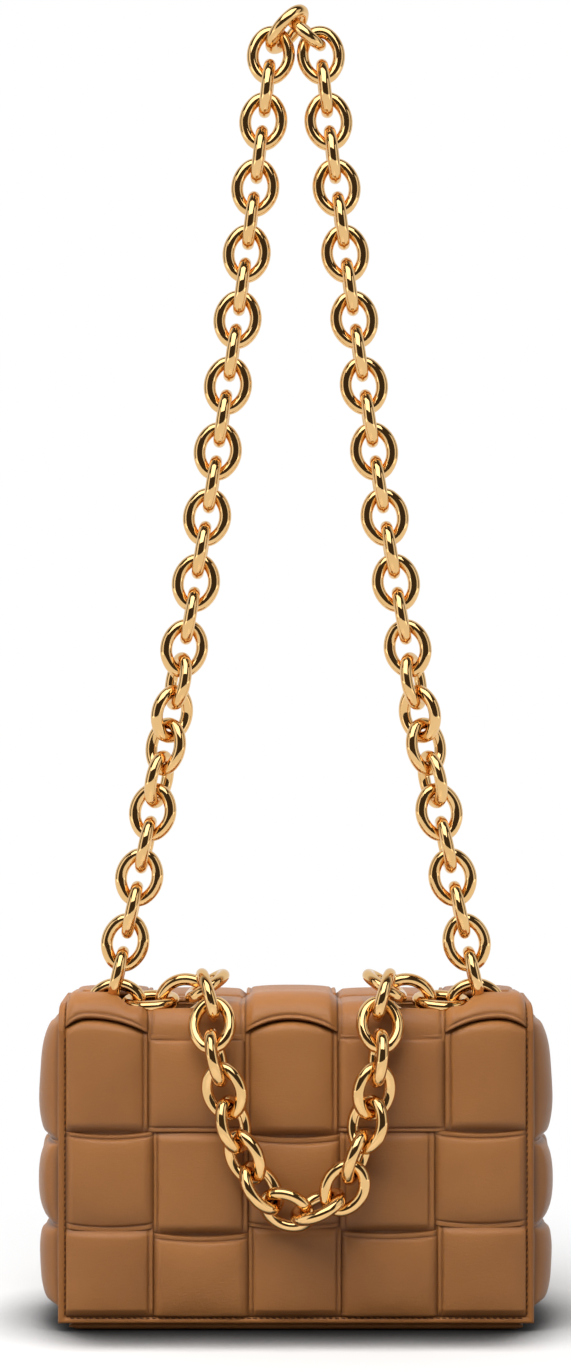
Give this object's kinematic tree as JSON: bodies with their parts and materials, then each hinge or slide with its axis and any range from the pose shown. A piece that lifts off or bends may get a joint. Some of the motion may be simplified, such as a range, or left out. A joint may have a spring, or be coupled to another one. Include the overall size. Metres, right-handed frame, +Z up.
{
  "type": "chain shoulder bag",
  "caption": "Soft leather shoulder bag with a woven padded flap, a heavy oval-link chain strap and a second chain hanging in a V across the front.",
  "frame": {"origin": "inner side of the crown link's top bend, where the strap is hung up", "axes": "+Z up, -Y towards the front of the bag with its flap, +X to the right as seen from the front"},
  "size_m": [0.2594, 0.1078, 0.6586],
  "materials": {
    "chain_gold": "mirror polished yellow gold plate",
    "strip_leather": "smooth soft caramel lambskin",
    "wall_leather": "smooth caramel calf leather",
    "lining": "thin matte suede-like lining leather",
    "board": "stiff board, unseen",
    "magnet": "plain, unseen"
  },
  "bodies": {
    "crown": {"crown_link": "chain_gold", "crown_bridge_link": "chain_gold"},
    "strap": {"strap_links_left": "chain_gold", "strap_links_right": "chain_gold", "strap_end_link_left": "chain_gold", "strap_end_link_right": "chain_gold"},
    "bag": {"anchor_link_left": "chain_gold", "anchor_link_right": "chain_gold", "flat_link_left": "chain_gold", "flat_link_right": "chain_gold", "bridge_link_left": "chain_gold", "bridge_link_right": "chain_gold", "rear_link_left": "chain_gold", "rear_link_right": "chain_gold", "corner_link_left": "chain_gold", "corner_link_right": "chain_gold", "base_panel": "wall_leather", "base_board": "board", "front_wall": "wall_leather", "back_panel": "wall_leather", "side_panel_left": "wall_leather", "side_panel_right": "wall_leather", "side_puffs_left": "strip_leather", "side_puffs_right": "strip_leather", "top_panel": "wall_leather", "shoulder_strips_raised": "strip_leather", "shoulder_strips_recessed": "strip_leather", "chain_well_left": "lining", "chain_well_right": "lining", "anchor_loops": "wall_leather", "inner_lining": "lining", "back_strips_vertical": "strip_leather", "back_strips_horizontal": "strip_leather", "wall_magnets": "magnet"},
    "flap": {"flap_panel": "wall_leather", "flap_strips_vertical": "strip_leather", "flap_strips_horizontal": "strip_leather", "flap_lining": "lining", "flap_magnets": "magnet"},
    "handle_ends": {"handle_end_link_left": "chain_gold", "handle_end_link_right": "chain_gold"},
    "handle": {"handle_links": "chain_gold"}
  },
  "joints": [
    {"name": "strap_swing", "type": "hinge", "parent": "crown", "child": "strap", "pos_m": [-0.00026, 0.00563, -0.00704], "axis": [1, 0, 0], "range_deg": [-15, 15]},
    {"name": "bag_swing", "type": "hinge", "parent": "strap", "child": "bag", "pos_m": [-0.00026, 0.00563, -0.48339], "axis": [1, 0, 0], "range_deg": [-20, 20]},
    {"name": "flap_open", "type": "hinge", "parent": "bag", "child": "flap", "pos_m": [-0.00026, -0.01737, -0.50634], "axis": [-1, 0, 0], "range_deg": [0, 120]},
    {"name": "handle_lift", "type": "hinge", "parent": "bag", "child": "handle_ends", "pos_m": [-0.00026, -0.01839, -0.48942], "axis": [-1, 0, 0], "range_deg": [0, 120]},
    {"name": "handle_swing", "type": "hinge", "parent": "handle_ends", "child": "handle", "pos_m": [-0.00026, -0.02744, -0.51308], "axis": [-1, 0, 0], "range_deg": [0, 120]}
  ],
  "couplings": [
    {"joint": "handle_lift", "follows": "flap_open", "ratio": 1}
  ]
}
